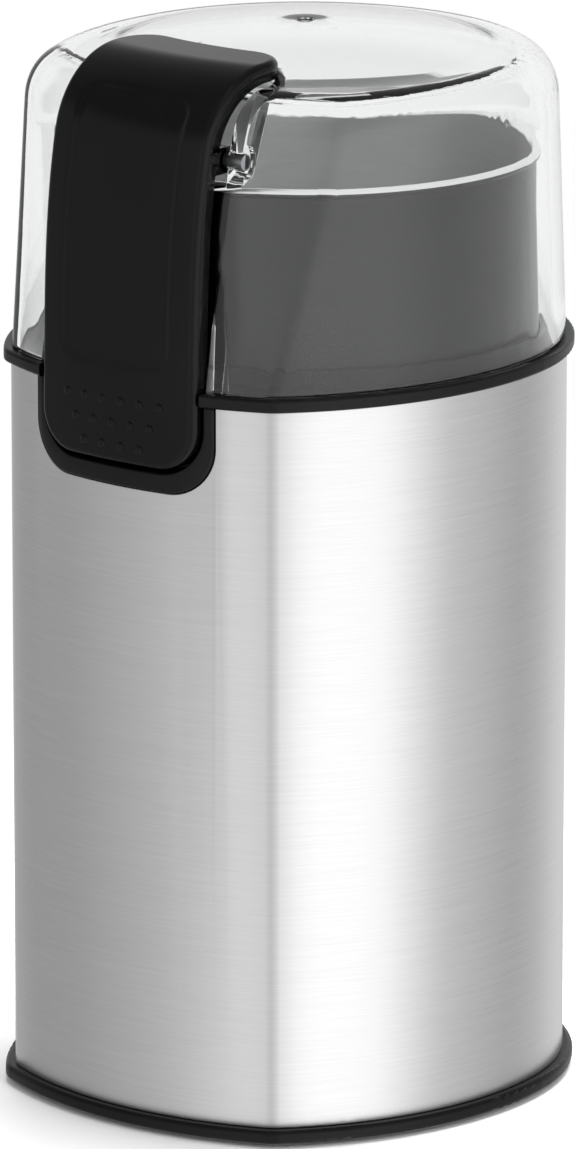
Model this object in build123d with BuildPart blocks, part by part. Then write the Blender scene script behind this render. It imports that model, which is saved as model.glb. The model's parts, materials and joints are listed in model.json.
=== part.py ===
"""Electric blade grinder: steel body, clear lift-off lid, press lever, round cup and blade.

Millimetres, +Z up, the front with the lever towards -Y.  The origin is on the table,
under the middle of the base.  Heights are measured from the table, and reaches are
measured from the motor axis towards the front.
"""
import os
from math import atan2, cos, degrees, hypot, radians, sin, tan

from build123d import *

# Body outline, seen from above: a round back, two flatter sides and a narrow front face
BACK_R = 47.8
SIDE_TANGENT = 11.3
FRONT_R = 70.0
FRONT_REACH = 53.0
FRONT_HALF_W = 30.88
CORNER_R = 7.0

# Heights of the outside
FOOT_H = 0.8
BASE_RIM_H = 2.6
COLLAR_Z = 136.4
COLLAR_H = 2.4
TOTAL_H = 196.3

# Walls and fits
STEEL_T = 0.8
CHASSIS_T = 2.0
FIT = 0.15
SEAT = 0.2
RUN_FIT = 0.05
PRESS_GAP = 0.02
CUT_OVER = 1.0

# Base cover
BASE_RIM = 1.85
BASE_EDGE_R = 0.9
BASE_LIP_T = 1.6
BASE_LIP_H = 24.0
FOOT_R = 5.0
FOOT_SEAT = 1.0
FOOT_CIRCLE_R = 33.0
FOOT_COUNT = 4
BASE_SCREW_INSET = 7.8
BASE_SCREW_COUNT = 3
BASE_SCREW_R = 1.5
SCREW_HEAD_R = 2.8
SCREW_HEAD_H = 1.6
BASE_SCREW_LENGTH = 28.0
BASE_BOSS_R = 5.0
BASE_BOSS_H = 34.0
VENT_COUNT = 10
VENT_CIRCLE_R = 17.0
VENT_LENGTH = 14.0
VENT_W = 3.0

# Cord inlet at the back
GLAND_Z = 18.0
GLAND_BORE_R = 3.2
GLAND_NECK_R = 5.0
GLAND_FLANGE_R = 7.0
GLAND_FLANGE_T = 1.2
GLAND_INSIDE = 6.0

# Collar under the lid
COLLAR_RIM = 1.35
COLLAR_EDGE_R = 0.6
COLLAR_SKIRT_H = 5.5
COLLAR_LIP_T = 1.2
COLLAR_LIP_H = 2.6

# Switch bezel in the steel front
BEZEL_HALF_W = 20.8
BEZEL_H = 16.6
BEZEL_CORNER_R = 9.0
BEZEL_PROUD = 0.4
POCKET_DEPTH = 4.6
POCKET_FLOOR_T = 1.2

# Press lever
LEVER_HALF_W = 18.1
LEVER_DROP = 12.4
LEVER_CORNER_R = 8.0
LEVER_PROUD = 1.1
LEVER_T = 3.4
LEVER_SKIN = 1.6
LEVER_SIDE_T = 2.2
LEVER_CROWN_R = 95.0
LEVER_LEAN = 1.0
LEVER_TOP_DROP = 0.3
LEVER_SET_BACK = 3.7
LEVER_TOP_LEAN = 12.0
LEVER_BEND_R = 17.0
LEVER_BEND = 75.0
LEVER_TIP = 8.7
LEVER_BACK_R = 8.0
LEVER_GAP = 0.8
PANEL_HALF_W = 13.2
PANEL_RISE = 17.0
PANEL_TOP_DROP = 5.3
PANEL_CORNER_R = 5.0
PANEL_DEPTH = 0.5
DOT_R = 0.85
DOT_PROUD = 0.35
DOT_PITCH_X = 4.3
DOT_PITCH_Z = 4.1
DOT_RISE = 3.2
DOT_ROWS = (4, 5, 6)
HINGE_INSET = 11.8
HINGE_DROP = 16.4
PIN_R = 1.5
EAR_R = 2.4
PIN_BOSS_R = 3.4
PIN_BOSS_T = 1.4
PRESS_TRAVEL = 1.9

# Clear lid
LID_WALL = 2.3
LID_DRAFT = 1.5
LID_LEAN = 6.5
DOME_RISE = 4.7
DOME_EDGE_R = 37.6
LID_SHOULDER_H = 9.0
LID_SHOULDER_IN = 7.2
LID_SHOULDER_STEPS = 4
LID_SET_IN = 0.2
SLOT_DEPTH_GAP = 3.9
SLOT_LEDGE_RUN = 7.2
SLOT_LEDGE_DROP = 22.3
SLOT_LEDGE_RISE = 3.95
SLOT_SHELF_RUN = 10.0
SLOT_SHELF_DROP = 5.7
SLOT_TOP_GAP = 1.0
SLOT_WALL = 1.7
GATE_R = 1.7
GATE_DEPTH = 0.3

# Grinding cup
CUP_WALL_GAP = 2.85
CUP_LEG_GAP = 1.3
CUP_T = 1.0
CUP_HEADROOM = 22.2
CUP_BEAD_R = 0.9
CUP_CORNER_R = 7.0
CUP_GAP = 0.4
CUP_HOLE_R = 6.0
GASKET_T = 1.5
GASKET_W = 4.5
GASKET_INSET = 9.5

# Deck that carries the cup and the motor
DECK_TOP = 106.0
DECK_T = 4.0
DECK_HOLE_R = 15.0
DECK_SLOT_GAP = 1.0

# Motor
SHAFT_R = 4.0
SHAFT_LOW = 9.0
SHAFT_TOP = 120.0
STATOR_LOW = 45.0
STATOR_H = 30.0
STATOR_R = 31.0
BORE_R = 20.6
AIR_GAP = 0.6
COIL_IN_R = 22.7
COIL_OUT_R = 25.8
COIL_FIT = 0.2
COIL_OVERHANG = 7.0
WINDOW_HALF = 34.0
WINDOW_EDGE = 2.0
POLE_GAP_HALF = 9.0
ARMATURE_SLOTS = 12
SLOT_W = 2.2
SLOT_DEPTH = 7.0
WINDING_R = 17.5
WINDING_H = 6.5
COMMUTATOR_R = 9.0
COMMUTATOR_LOW = 84.0
COMMUTATOR_H = 10.0
COMMUTATOR_BARS = 12
COMMUTATOR_CUT = 0.5
COMMUTATOR_CUT_DEPTH = 1.0
BRACKET_T = 2.5
DAMPER_T = 2.5
DAMPER_R = 4.0
LOWER_BRACKET_GAP = 9.0
PILLAR_R = 2.5
PILLAR_CIRCLE_R = 28.3
MOTOR_SCREW_R = 1.5
BEARING_R = 8.0
BEARING_H = 8.0
HUB_T = 2.0
BRUSH_W = 5.0
BRUSH_H = 6.0
BRUSH_LENGTH = 9.0
HOLDER_T = 1.0
HOLDER_END = 26.0
HOLDER_GAP = 2.0
BRUSH_GAP = 0.15
FAN_R = 26.0
FAN_LOW = 13.0
FAN_H = 9.0
FAN_DISC_T = 1.6
FAN_HUB_R = 8.0
FAN_BLADES = 10
FAN_BLADE_T = 1.4

# Blade and what holds it
SEAL_FLANGE_R = 9.0
SEAL_FLANGE_T = 1.5
HUB_R = 7.0
HUB_LOW_GAP = 0.4
HUB_H = 4.0
BLADE_T = 1.5
BLADE_HALF = 29.0
BLADE_FLAT_HALF = 11.0
BLADE_RISE = 4.0
BLADE_W = 11.0
BLADE_TIP_W = 6.0
NUT_ACROSS = 10.0
NUT_H = 4.0

# Switch
BUTTON_R = 1.9
BUTTON_TOP_GAP = 0.4
BUTTON_GAP = 0.3
LEG_T = 1.8
LEG_W = 10.0
LEG_TOP_RISE = 1.4
LEG_LOW_Z = 88.0
SWITCH_W = 20.0
SWITCH_H = 10.0
SWITCH_DEPTH = 6.4
SWITCH_LOW_Z = 80.0
SWITCH_FREE = 0.4
SWITCH_PLATE_T = 1.5
SWITCH_CORNER_R = 0.6
SPRING_WIRE_R = 0.35
SPRING_R = 2.0
SPRING_Z = 97.0

# Values worked out from the ones above
AXIS_Y = (FRONT_REACH - BACK_R) / 2
# Side arc: touches the back arc, and meets the front arc at the front's half width
FRONT_EDGE_REACH = FRONT_REACH - FRONT_R + (FRONT_R**2 - FRONT_HALF_W**2) ** 0.5
EDGE_ALONG = FRONT_HALF_W * cos(radians(SIDE_TANGENT)) - FRONT_EDGE_REACH * sin(radians(SIDE_TANGENT))
SIDE_SHIFT = (FRONT_HALF_W**2 + FRONT_EDGE_REACH**2 - BACK_R**2) / (2 * (BACK_R - EDGE_ALONG))
SIDE_R = BACK_R + SIDE_SHIFT
SHELL_LOW = FOOT_H + BASE_RIM_H
BASE_SCREW_CIRCLE_R = min(BACK_R, FRONT_REACH) - BASE_SCREW_INSET
LID_LOW = COLLAR_Z + COLLAR_H
LID_RIM_Z = TOTAL_H - DOME_RISE
LID_SHOULDER_Z = LID_RIM_Z - LID_SHOULDER_H
DOME_R = (DOME_EDGE_R**2 + DOME_RISE**2) / (2 * DOME_RISE)
CHASSIS_LOW = SHELL_LOW + BASE_LIP_H
CHASSIS_TOP = COLLAR_Z - COLLAR_SKIRT_H
CHASSIS_OUT = -(STEEL_T + FIT)
LEVER_FRONT = FRONT_REACH + LEVER_PROUD
BEZEL_LOW_Z = COLLAR_Z - BEZEL_H
LEVER_LOW_Z = COLLAR_Z - LEVER_DROP
PANEL_LOW_Z = LEVER_LOW_Z + PANEL_RISE
PANEL_HIGH_Z = TOTAL_H - PANEL_TOP_DROP
DOT_LOW_Z = LEVER_LOW_Z + DOT_RISE
HINGE_REACH = LEVER_FRONT - HINGE_INSET
HINGE_Z = TOTAL_H - HINGE_DROP
LEVER_HOLLOW_HIGH_Z = HINGE_Z - EAR_R
CUP_RIM_Z = TOTAL_H - CUP_HEADROOM
BUTTON_Z = CHASSIS_TOP - BUTTON_R - BUTTON_TOP_GAP
BEZEL_BACK = POCKET_DEPTH + POCKET_FLOOR_T
LEG_FRONT = FRONT_REACH - BEZEL_BACK - SEAT
LEG_BACK = LEG_FRONT - LEG_T
# The cup stays clear of the chassis wall behind it and of the pressed leg before it
CUP_R = min(
    BACK_R + CHASSIS_OUT - CHASSIS_T - CUP_WALL_GAP,
    LEG_BACK - PRESS_TRAVEL - CUP_LEG_GAP,
)
SLOT_BACK = LEVER_FRONT - LEVER_T - SLOT_DEPTH_GAP
SLOT_LEDGE_REACH = SLOT_BACK - SLOT_LEDGE_RUN
SLOT_LEDGE_Z = TOTAL_H - SLOT_LEDGE_DROP
SLOT_SHELF_Z = TOTAL_H - SLOT_SHELF_DROP
# Lean of the lever at the ends of its straight, swept and bent stretches
LEAN_LOW = radians(LEVER_LEAN)
LEAN_MID = radians(LEVER_TOP_LEAN)
LEAN_HIGH = radians(LEVER_TOP_LEAN + LEVER_BEND)
BEND_RISE = LEVER_BEND_R * (sin(LEAN_HIGH) - sin(LEAN_MID))
TIP_RISE = LEVER_TIP * cos(LEAN_HIGH)
BEND_Z = TOTAL_H - LEVER_TOP_DROP - BEND_RISE - TIP_RISE
BEND_REACH = LEVER_FRONT - LEVER_SET_BACK
BEND_RUN = LEVER_BEND_R * (cos(LEAN_MID) - cos(LEAN_HIGH))
LEVER_TIP_REACH = BEND_REACH - BEND_RUN - LEVER_TIP * sin(LEAN_HIGH)
SLOT_TOP_REACH = LEVER_TIP_REACH - SLOT_TOP_GAP
LEVER_CROWN_FALL = BUTTON_R**2 / (2 * LEVER_CROWN_R)
SLOT_HALF_W = LEVER_HALF_W + LEVER_GAP
CUP_LOW = DECK_TOP + GASKET_T
GASKET_R = CUP_R - GASKET_INSET
CUP_FLOOR = CUP_LOW + CUP_T
DECK_LOW = DECK_TOP - DECK_T
BRACKET_TOP = DECK_LOW - DAMPER_T
BRACKET_LOW = BRACKET_TOP - BRACKET_T
BEARING_TOP = BRACKET_LOW + BEARING_H
STATOR_TOP = STATOR_LOW + STATOR_H
LOWER_TOP = STATOR_LOW - LOWER_BRACKET_GAP
LOWER_LOW = LOWER_TOP - BRACKET_T
BLADE_HUB_LOW = CUP_FLOOR + SEAL_FLANGE_T + HUB_LOW_GAP
BLADE_Z = BLADE_HUB_LOW + HUB_H
HOLDER_HALF_W = BRUSH_W / 2 + BRUSH_GAP + HOLDER_T
BRUSH_MID_Z = COMMUTATOR_LOW + COMMUTATOR_H / 2
BRUSH_FRONT = COMMUTATOR_R + AIR_GAP / 2
BRUSH_BACK = BRUSH_FRONT + BRUSH_LENGTH

# Planes and axes that the pieces share
MOTOR_AXIS = Axis((0, AXIS_Y, 0), (0, 0, 1))
FRONT_VIEW = Plane((0, AXIS_Y, 0), x_dir=(1, 0, 0), z_dir=(0, -1, 0))
SIDE_VIEW = Plane((0, AXIS_Y, 0), x_dir=(0, -1, 0), z_dir=(-1, 0, 0))
CROWN_AXIS = Axis((0, AXIS_Y - LEVER_FRONT + LEVER_CROWN_R, 0), (0, 0, 1))
MIRROR_PLANE = Plane.YZ
GLAND_PLANE = Plane((0, AXIS_Y + BACK_R, GLAND_Z), x_dir=(1, 0, 0), z_dir=(0, 1, 0))
FAR = 2 * FRONT_REACH


def level(height):
    """Horizontal plane at a height, centred on the motor axis."""
    return Plane((0, AXIS_Y, height))


def body_face(grow=0.0, lean=0.0):
    """Body outline grown by an offset, with the front face set back by a lean."""
    side_r = SIDE_R + grow
    front_r = FRONT_R + grow
    side_x = -SIDE_SHIFT * cos(radians(SIDE_TANGENT))
    side_y = -SIDE_SHIFT * sin(radians(SIDE_TANGENT))
    front_y = FRONT_R - FRONT_REACH + lean
    # The corner arc touches the side arc and the front arc from inside
    to_side = side_r - CORNER_R
    to_front = front_r - CORNER_R
    span = hypot(side_x, front_y - side_y)
    along = (to_side**2 - to_front**2 + span**2) / (2 * span)
    across = (to_side**2 - along**2) ** 0.5
    ux = -side_x / span
    uy = (front_y - side_y) / span
    corner_x = side_x + along * ux + across * uy
    corner_y = side_y + along * uy - across * ux
    side_turn = degrees(atan2(corner_y - side_y, corner_x - side_x))
    front_turn = degrees(atan2(corner_y - front_y, corner_x))
    with BuildSketch(Plane.XY) as outline:
        with BuildLine():
            CenterArc((0, 0), BACK_R + grow, SIDE_TANGENT, 180 - 2 * SIDE_TANGENT)
            CenterArc((side_x, side_y), side_r, side_turn, SIDE_TANGENT - side_turn)
            CenterArc((corner_x, corner_y), CORNER_R, front_turn, side_turn - front_turn)
            CenterArc((0, front_y), front_r, -180 - front_turn, 2 * front_turn + 180)
            CenterArc((-corner_x, corner_y), CORNER_R, 180 - side_turn, side_turn - front_turn)
            CenterArc((-side_x, side_y), side_r, 180 - SIDE_TANGENT, SIDE_TANGENT - side_turn)
        make_face()
    return outline.sketch


def tongue_face(half_width, low, high, corner):
    """Upright panel seen from the front, with its two lower corners rounded."""
    with BuildSketch(Plane.XY) as tongue:
        with Locations((0, (low + high) / 2)):
            Rectangle(2 * half_width, high - low)
        fillet(tongue.vertices().group_by(Axis.Y)[0], corner)
    return tongue.sketch


def front_block(half_width, low, high, corner, depth):
    """Block at the front, from far outside in to a depth under the steel face."""
    with BuildPart() as block:
        with BuildSketch(FRONT_VIEW):
            add(tongue_face(half_width, low, high, corner))
        extrude(amount=FAR)
        with BuildSketch(level(low - CUT_OVER)):
            add(body_face(-depth))
        extrude(amount=high - low + 2 * CUT_OVER, mode=Mode.SUBTRACT)
    return block.part


def tube(low, high, outer, inner):
    """Round ring about the motor axis."""
    with BuildPart() as ring:
        with BuildSketch(level(low)):
            Circle(outer)
            Circle(inner, mode=Mode.SUBTRACT)
        extrude(amount=high - low)
    return ring.part


def rounded_can(low, high, radius, corner):
    """Solid round can about the motor axis with a rounded foot."""
    with BuildPart() as can:
        with BuildSketch(level(low)):
            Circle(radius)
        extrude(amount=high - low)
        fillet(can.edges().sort_by(Axis.Z)[0], corner)
    return can.part


def radial_plane(angle):
    """Upright plane through the motor axis, with its first axis pointing outwards."""
    turn = radians(angle)
    return Plane((0, AXIS_Y, 0), x_dir=(cos(turn), sin(turn), 0), z_dir=(sin(turn), -cos(turn), 0))


def facing_plane(angle, reach):
    """Upright plane at a distance from the motor axis, facing outwards."""
    turn = radians(angle)
    facing = Plane((0, AXIS_Y, 0), x_dir=(-sin(turn), cos(turn), 0), z_dir=(cos(turn), sin(turn), 0))
    return facing.offset(reach)


def sector(low, high, outer, inner, start, arc):
    """Part of a round ring about the motor axis, between two angles."""
    with BuildPart() as piece:
        with BuildSketch(radial_plane(start)):
            with Locations(((outer + inner) / 2, (low + high) / 2)):
                Rectangle(outer - inner, high - low)
        revolve(axis=MOTOR_AXIS, revolution_arc=arc)
    return piece.part


# Base cover: floor plate with the visible rim, lip, vents, foot seats and screw holes
with BuildPart() as base_cover:
    with BuildSketch(level(FOOT_H)):
        add(body_face(BASE_RIM))
    extrude(amount=BASE_RIM_H)
    fillet(base_cover.faces().filter_by(Axis.Z).edges(), BASE_EDGE_R)
    with BuildSketch(level(SHELL_LOW)):
        add(body_face(CHASSIS_OUT))
        add(body_face(CHASSIS_OUT - BASE_LIP_T), mode=Mode.SUBTRACT)
    extrude(amount=BASE_LIP_H)
    with BuildSketch(level(FOOT_H)):
        with PolarLocations(FOOT_CIRCLE_R, FOOT_COUNT, start_angle=180 / FOOT_COUNT):
            Circle(FOOT_R + FIT)
    extrude(amount=FOOT_SEAT, mode=Mode.SUBTRACT)
    with BuildSketch(level(FOOT_H)):
        with PolarLocations(VENT_CIRCLE_R, VENT_COUNT):
            SlotOverall(VENT_LENGTH, VENT_W)
    extrude(amount=BASE_RIM_H, mode=Mode.SUBTRACT)
    with BuildSketch(level(FOOT_H)):
        with PolarLocations(BASE_SCREW_CIRCLE_R, BASE_SCREW_COUNT, start_angle=-90):
            Circle(BASE_SCREW_R + FIT)
    extrude(amount=BASE_RIM_H, mode=Mode.SUBTRACT)
    with BuildSketch(level(FOOT_H)):
        with PolarLocations(BASE_SCREW_CIRCLE_R, BASE_SCREW_COUNT, start_angle=-90):
            Circle(SCREW_HEAD_R + FIT)
    extrude(amount=SCREW_HEAD_H, mode=Mode.SUBTRACT)
    with BuildSketch(GLAND_PLANE):
        Circle(GLAND_NECK_R + FIT)
    extrude(amount=-GLAND_INSIDE, mode=Mode.SUBTRACT)

# Rubber feet, glued in their seats
with BuildPart() as rubber_feet:
    with BuildSketch(level(0)):
        with PolarLocations(FOOT_CIRCLE_R, FOOT_COUNT, start_angle=180 / FOOT_COUNT):
            Circle(FOOT_R)
    extrude(amount=FOOT_H + FOOT_SEAT)
    chamfer(rubber_feet.faces().sort_by(Axis.Z)[:FOOT_COUNT].edges(), FOOT_H / 2)

# Screws that hold the base cover to the chassis
with BuildPart() as base_screws:
    with BuildSketch(level(FOOT_H)):
        with PolarLocations(BASE_SCREW_CIRCLE_R, BASE_SCREW_COUNT, start_angle=-90):
            Circle(SCREW_HEAD_R)
    extrude(amount=SCREW_HEAD_H)
    with BuildSketch(level(FOOT_H)):
        with PolarLocations(BASE_SCREW_CIRCLE_R, BASE_SCREW_COUNT, start_angle=-90):
            Circle(BASE_SCREW_R)
    extrude(amount=BASE_SCREW_LENGTH)

# Cord gland: a soft bush with a flange outside the steel
with BuildPart() as cord_gland:
    with BuildSketch(GLAND_PLANE):
        Circle(GLAND_FLANGE_R)
        Circle(GLAND_BORE_R, mode=Mode.SUBTRACT)
    extrude(amount=GLAND_FLANGE_T)
    with BuildSketch(GLAND_PLANE):
        Circle(GLAND_NECK_R)
        Circle(GLAND_BORE_R, mode=Mode.SUBTRACT)
    extrude(amount=-GLAND_INSIDE)

# Steel sleeve, open at both ends, with the tongue-shaped cut for the bezel
with BuildPart() as steel_shell:
    with BuildSketch(level(SHELL_LOW)):
        add(body_face())
        add(body_face(-STEEL_T), mode=Mode.SUBTRACT)
    extrude(amount=COLLAR_Z - SHELL_LOW)
    add(
        front_block(
            BEZEL_HALF_W + FIT,
            BEZEL_LOW_Z - FIT,
            COLLAR_Z + CUT_OVER,
            BEZEL_CORNER_R + FIT,
            2 * STEEL_T,
        ),
        mode=Mode.SUBTRACT,
    )
    with BuildSketch(GLAND_PLANE):
        Circle(GLAND_NECK_R + FIT)
    extrude(amount=GLAND_INSIDE, both=True, mode=Mode.SUBTRACT)

# Inner chassis: wall inside the steel, deck for the cup and the motor, screw bosses
with BuildPart() as chassis:
    with BuildSketch(level(CHASSIS_LOW)):
        add(body_face(CHASSIS_OUT))
        add(body_face(CHASSIS_OUT - CHASSIS_T), mode=Mode.SUBTRACT)
    extrude(amount=CHASSIS_TOP - CHASSIS_LOW)
    with BuildSketch(level(DECK_LOW)):
        add(body_face(CHASSIS_OUT - CHASSIS_T / 2))
        Circle(DECK_HOLE_R, mode=Mode.SUBTRACT)
    extrude(amount=DECK_T)
    with BuildSketch(level(SHELL_LOW)):
        with PolarLocations(BASE_SCREW_CIRCLE_R, BASE_SCREW_COUNT, start_angle=-90):
            Circle(BASE_BOSS_R)
            Circle(BASE_SCREW_R + PRESS_GAP, mode=Mode.SUBTRACT)
    extrude(amount=BASE_BOSS_H)
    # Ribs that tie the bosses to the wall
    with BuildSketch(level(CHASSIS_LOW)):
        rib_low = BASE_SCREW_CIRCLE_R + BASE_BOSS_R / 2
        rib_length = FRONT_REACH - rib_low
        rib_circle_r = rib_low + rib_length / 2
        with PolarLocations(rib_circle_r, BASE_SCREW_COUNT, start_angle=-90):
            Rectangle(rib_length, CHASSIS_T)
        add(body_face(CHASSIS_OUT - CHASSIS_T / 2), mode=Mode.INTERSECT)
    extrude(amount=BASE_BOSS_H + SHELL_LOW - CHASSIS_LOW)
    add(
        front_block(
            BEZEL_HALF_W + SEAT,
            BEZEL_LOW_Z - SEAT,
            COLLAR_Z + CUT_OVER,
            BEZEL_CORNER_R + SEAT,
            BEZEL_BACK + SEAT,
        ),
        mode=Mode.SUBTRACT,
    )
    # Slot in the deck for the leg of the switch plunger
    with BuildSketch(level(DECK_LOW)):
        with Locations((0, -(LEG_FRONT + LEG_BACK - PRESS_TRAVEL) / 2)):
            Rectangle(LEG_W + 2 * DECK_SLOT_GAP, LEG_T + PRESS_TRAVEL + 2 * DECK_SLOT_GAP)
    extrude(amount=DECK_T, mode=Mode.SUBTRACT)

# Collar: visible band under the lid, skirt inside the steel, lip round the cup
with BuildPart() as collar:
    with BuildSketch(level(COLLAR_Z)):
        add(body_face(COLLAR_RIM))
        Circle(CUP_R + CUP_GAP, mode=Mode.SUBTRACT)
    extrude(amount=COLLAR_H)
    rim_wires = [face.outer_wire() for face in collar.faces().filter_by(Axis.Z)]
    fillet([edge for wire in rim_wires for edge in wire.edges()], COLLAR_EDGE_R)
    with BuildSketch(level(CHASSIS_TOP)):
        add(body_face(CHASSIS_OUT))
        Circle(CUP_R + CUP_GAP + COLLAR_LIP_T, mode=Mode.SUBTRACT)
    extrude(amount=COLLAR_SKIRT_H)
    add(tube(LID_LOW, LID_LOW + COLLAR_LIP_H, CUP_R + CUP_GAP + COLLAR_LIP_T, CUP_R + CUP_GAP))
    add(
        front_block(
            BEZEL_HALF_W + SEAT,
            BEZEL_LOW_Z - SEAT,
            COLLAR_Z,
            BEZEL_CORNER_R + SEAT,
            BEZEL_BACK + SEAT,
        ),
        mode=Mode.SUBTRACT,
    )
    add(
        front_block(SLOT_HALF_W, LEVER_LOW_Z, LID_LOW + CUT_OVER, LEVER_CORNER_R, POCKET_DEPTH),
        mode=Mode.SUBTRACT,
    )

# Bezel: tongue-shaped tray in the steel front that takes the lower end of the lever
with BuildPart() as switch_bezel:
    add(front_block(BEZEL_HALF_W, BEZEL_LOW_Z, COLLAR_Z, BEZEL_CORNER_R, BEZEL_BACK))
    with BuildSketch(level(BEZEL_LOW_Z)):
        add(body_face(BEZEL_PROUD))
    extrude(amount=COLLAR_Z - BEZEL_LOW_Z, mode=Mode.INTERSECT)
    add(
        front_block(
            SLOT_HALF_W,
            LEVER_LOW_Z - LEVER_GAP,
            COLLAR_Z + CUT_OVER,
            LEVER_CORNER_R + LEVER_GAP,
            POCKET_DEPTH,
        ),
        mode=Mode.SUBTRACT,
    )
    with BuildSketch(FRONT_VIEW):
        with Locations((0, BUTTON_Z)):
            Circle(BUTTON_R + RUN_FIT)
    extrude(amount=FAR, mode=Mode.SUBTRACT)

# Grinding cup: pressed steel bowl with a rounded foot and a rolled rim
with BuildPart() as grinding_cup:
    add(rounded_can(CUP_LOW, CUP_RIM_Z - CUP_BEAD_R, CUP_R, CUP_CORNER_R))
    add(rounded_can(CUP_FLOOR, CUP_RIM_Z, CUP_R - CUP_T, CUP_CORNER_R - CUP_T), mode=Mode.SUBTRACT)
    with Locations((0, AXIS_Y, CUP_RIM_Z - CUP_BEAD_R)):
        Torus(CUP_R - CUP_T + CUP_BEAD_R, CUP_BEAD_R)
    with BuildSketch(level(CUP_LOW)):
        Circle(CUP_HOLE_R)
    extrude(amount=CUP_T, mode=Mode.SUBTRACT)

# Rubber gasket between the deck and the cup
with BuildPart() as cup_gasket:
    add(tube(DECK_TOP, CUP_LOW, GASKET_R, GASKET_R - GASKET_W))

# Shaft seal in the floor of the cup
with BuildPart() as shaft_seal:
    add(tube(CUP_FLOOR, CUP_FLOOR + SEAL_FLANGE_T, SEAL_FLANGE_R, SHAFT_R + RUN_FIT))
    add(tube(BEARING_TOP + HUB_LOW_GAP, CUP_FLOOR, CUP_HOLE_R - PRESS_GAP, SHAFT_R + RUN_FIT))

# Stator: round stack of laminations with two poles
with BuildPart() as stator_core:
    add(tube(STATOR_LOW, STATOR_TOP, STATOR_R, BORE_R))
    for side in (0, 180):
        window_start = side + 90 - WINDOW_HALF
        add(
            sector(
                STATOR_LOW,
                STATOR_TOP,
                COIL_OUT_R + COIL_FIT,
                COIL_IN_R - COIL_FIT,
                window_start,
                2 * WINDOW_HALF,
            ),
            mode=Mode.SUBTRACT,
        )
        add(
            sector(
                STATOR_LOW,
                STATOR_TOP,
                COIL_OUT_R,
                BORE_R - AIR_GAP,
                side + 90 - POLE_GAP_HALF,
                2 * POLE_GAP_HALF,
            ),
            mode=Mode.SUBTRACT,
        )
    with BuildSketch(level(STATOR_LOW)):
        with PolarLocations(PILLAR_CIRCLE_R, 2, start_angle=90):
            Circle(MOTOR_SCREW_R + PRESS_GAP)
    extrude(amount=STATOR_H, mode=Mode.SUBTRACT)

# Two field coils, one looped round each pole
with BuildPart() as field_coils:
    for side in (0, 180):
        half = 90 - WINDOW_EDGE
        pole = 90 - WINDOW_HALF + WINDOW_EDGE
        add(
            sector(
                STATOR_LOW - COIL_OVERHANG,
                STATOR_TOP + COIL_OVERHANG,
                COIL_OUT_R,
                COIL_IN_R,
                side - half,
                2 * half,
            )
        )
        add(
            sector(
                STATOR_LOW - COIL_FIT,
                STATOR_TOP + COIL_FIT,
                COIL_OUT_R + CUT_OVER,
                COIL_IN_R - CUT_OVER,
                side - pole,
                2 * pole,
            ),
            mode=Mode.SUBTRACT,
        )


def bracket(low, high, pillar_low, pillar_high, hub_low, hub_high):
    """Motor bracket: plate, two pillars to the stator and the hub of a bearing."""
    with BuildPart() as plate:
        add(tube(low, high, STATOR_R, BEARING_R))
        add(tube(hub_low, hub_high, BEARING_R + HUB_T, BEARING_R + PRESS_GAP))
        with BuildSketch(level(pillar_low)):
            with PolarLocations(PILLAR_CIRCLE_R, 2, start_angle=90):
                Circle(PILLAR_R)
        extrude(amount=pillar_high - pillar_low)
        with BuildSketch(level(min(low, pillar_low))):
            with PolarLocations(PILLAR_CIRCLE_R, 2, start_angle=90):
                Circle(MOTOR_SCREW_R + PRESS_GAP)
        extrude(amount=max(high, pillar_high) - min(low, pillar_low), mode=Mode.SUBTRACT)
    return plate.part


with BuildPart() as upper_bracket:
    add(bracket(BRACKET_LOW, BRACKET_TOP, STATOR_TOP, BRACKET_LOW, BRACKET_LOW, BEARING_TOP))

with BuildPart() as lower_bracket:
    add(bracket(LOWER_LOW, LOWER_TOP, LOWER_TOP, STATOR_LOW, LOWER_TOP - BEARING_H, LOWER_TOP))

# Bronze bearings in the hubs of the brackets
with BuildPart() as upper_bearing:
    add(tube(BRACKET_LOW, BEARING_TOP, BEARING_R, SHAFT_R + RUN_FIT))

with BuildPart() as lower_bearing:
    add(tube(LOWER_TOP - BEARING_H, LOWER_TOP, BEARING_R, SHAFT_R + RUN_FIT))

# Long screws through the lower bracket and the stator into the upper bracket
with BuildPart() as motor_screws:
    with BuildSketch(level(LOWER_LOW)):
        with PolarLocations(PILLAR_CIRCLE_R, 2, start_angle=90):
            Circle(MOTOR_SCREW_R)
    extrude(amount=BRACKET_TOP - LOWER_LOW)
    with BuildSketch(level(LOWER_LOW)):
        with PolarLocations(PILLAR_CIRCLE_R, 2, start_angle=90):
            Circle(PILLAR_R)
    extrude(amount=-SCREW_HEAD_H)

# Rubber dampers between the upper bracket and the deck
with BuildPart() as motor_dampers:
    with BuildSketch(level(BRACKET_TOP)):
        with PolarLocations((STATOR_R + DECK_HOLE_R) / 2, FOOT_COUNT, start_angle=45):
            Circle(DAMPER_R)
    extrude(amount=DAMPER_T)

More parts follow.
